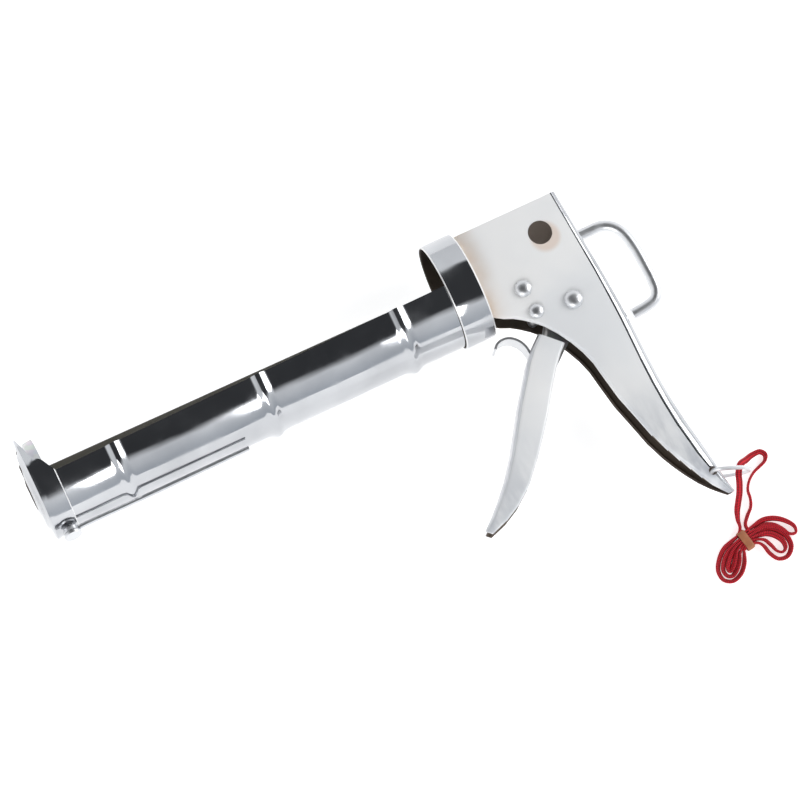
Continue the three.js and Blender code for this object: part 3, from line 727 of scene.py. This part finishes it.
def dress(name, finish, inner=None, is_inner=None, other=None, is_other=None):
    """Smooth shading and up to three finishes for a CAD node. Each test picks its finish's faces."""
    node_object = bpy.data.objects[name]
    mesh = node_object.data
    mesh.materials.clear()
    mesh.materials.append(FINISH[finish])
    for extra in (inner, other):
        if extra:
            mesh.materials.append(FINISH[extra])
    for polygon in mesh.polygons:
        polygon.use_smooth = True
        centre, normal = to_gun(polygon.center), direction_to_gun(polygon.normal)
        if inner and is_inner(centre, normal):
            polygon.material_index = 1
        elif other and is_other(centre, normal):
            polygon.material_index = 2
    weld = node_object.modifiers.new("weld", "WELD")
    weld.merge_threshold = WELD_DISTANCE
    split = node_object.modifiers.new("split", "EDGE_SPLIT")
    split.split_angle = SMOOTH_ANGLE
    split.use_edge_sharp = False


# The 'edge' finish is a painted highlight: it paints the trough's cut edges, the skirt's rear edge and
# the collar's rims pale.
dress("cradle", "mirror", "inner", inside_round, "edge", trough_edge)
dress("front_cap", "mirror", "dull", inside_cap, "edge", cap_edge)
dress("collar", "mirror", "dull", inside_collar, "edge", collar_edge)
dress("handle", "plate", "dull", inside_handle, "mirror", spine_bend)
for name in ("trigger_pivot", "pawl_rivet", "spring_rivet", "punch_rivet"):
    dress(name, "rivet")
for name in ("seal_punch", "plunger_rod", "lanyard_ring"):
    dress(name, "wire")
dress("trigger", "trigger", "dull", inside_trigger, "rivet", trigger_front)
for name in ("trigger_lever", "rod_guide_front", "rod_guide_rear", "plunger_plate"):
    dress(name, "zinc")
for name in ("drive_pawl", "drive_pawl_pin", "holding_pawl", "return_spring"):
    dress(name, "steel")

# ---- floor, light and surroundings -------------------------------------------------------------


FLOOR_HALF = 6.0


def make_floor():
    half = FLOOR_HALF
    corners = [(-half, -half, 0), (half, -half, 0), (half, half, 0), (-half, half, 0)]
    floor = new_piece("floor", corners, [(0, 1, 2, 3)], smooth=False)
    material, tree, shader = new_material("pale_floor", Roughness=0.9, Emission_Strength=0.85)
    tint = blend_colour(tree, noise_of(tree, place(tree), 3), grey(0.8), grey(0.78))
    wire_up(tree, shader, Base_Color=tint, Emission_Color=tint)
    floor.data.materials.append(material)


# The dark ceiling's edges and the room's paling, in degrees of swing round the X axis from straight up.
# The ceiling also ends where a direction's X part grows past CEILING_REACH.
CEILING_NEAR = (-53, -36)
CEILING_FAR = (42, 34)
CEILING_REACH = (0.72, 0.5)
ROOM_PALING = (-95, -35)
ROOM_LOW = (0.58, 0.62, 0.67, 1)
ROOM_HIGH = (0.98, 1.0, 1.02, 1)
CEILING = (0.05, 0.052, 0.056, 1)


def swing_ramp(tree, swing, edge):
    return ramp_between(tree, swing, math.radians(edge[0]), math.radians(edge[1]))


def make_world():
    """A bright room with a dark ceiling over the gun, which the chrome shows as its dark streaks."""
    world = bpy.data.worlds.new("studio")
    bpy.context.scene.world = world
    world.use_nodes = True
    tree = world.node_tree
    direction = node(tree, "ShaderNodeTexCoord").outputs["Generated"]
    axes = node(tree, "ShaderNodeSeparateXYZ", {"Vector": direction})
    swing = calc(tree, "ARCTAN2", axes.outputs["Y"], axes.outputs["Z"])
    uneven = ramp_between(tree, noise_of(tree, direction, 2.2, 2), 0, 1, -0.14, 0.14, "LINEAR")
    swing = calc(tree, "ADD", swing, uneven)
    near_side = swing_ramp(tree, swing, CEILING_NEAR)
    far_side = swing_ramp(tree, swing, CEILING_FAR)
    sideways = ramp_between(tree, calc(tree, "ABSOLUTE", axes.outputs["X"]), *CEILING_REACH)
    dark = calc(tree, "MULTIPLY", calc(tree, "MULTIPLY", near_side, far_side), sideways)
    bright = blend_colour(tree, swing_ramp(tree, swing, ROOM_PALING), ROOM_LOW, ROOM_HIGH)
    colour = blend_colour(tree, dark, bright, CEILING)
    background = tree.nodes["Background"]
    tree.links.new(colour, background.inputs["Color"])
    background.inputs["Strength"].default_value = 1.0


def soft_light(name, place_at, size, power):
    data = bpy.data.lights.new(name, "AREA")
    data.shape = "RECTANGLE"
    data.size, data.size_y = size
    data.energy = power
    light = bpy.data.objects.new(name, data)
    bpy.context.collection.objects.link(light)
    light.location = place_at
    light.rotation_euler = (-Vector(place_at)).to_track_quat("-Z", "Y").to_euler()


make_floor()
make_world()
soft_light("window_right", (2.2, -0.4, 1.5), (1.6, 1.2), 26)
soft_light("window_left", (-1.2, -2.0, 1.7), (1.6, 1.0), 22)
bpy.context.scene.view_settings.view_transform = "Standard"
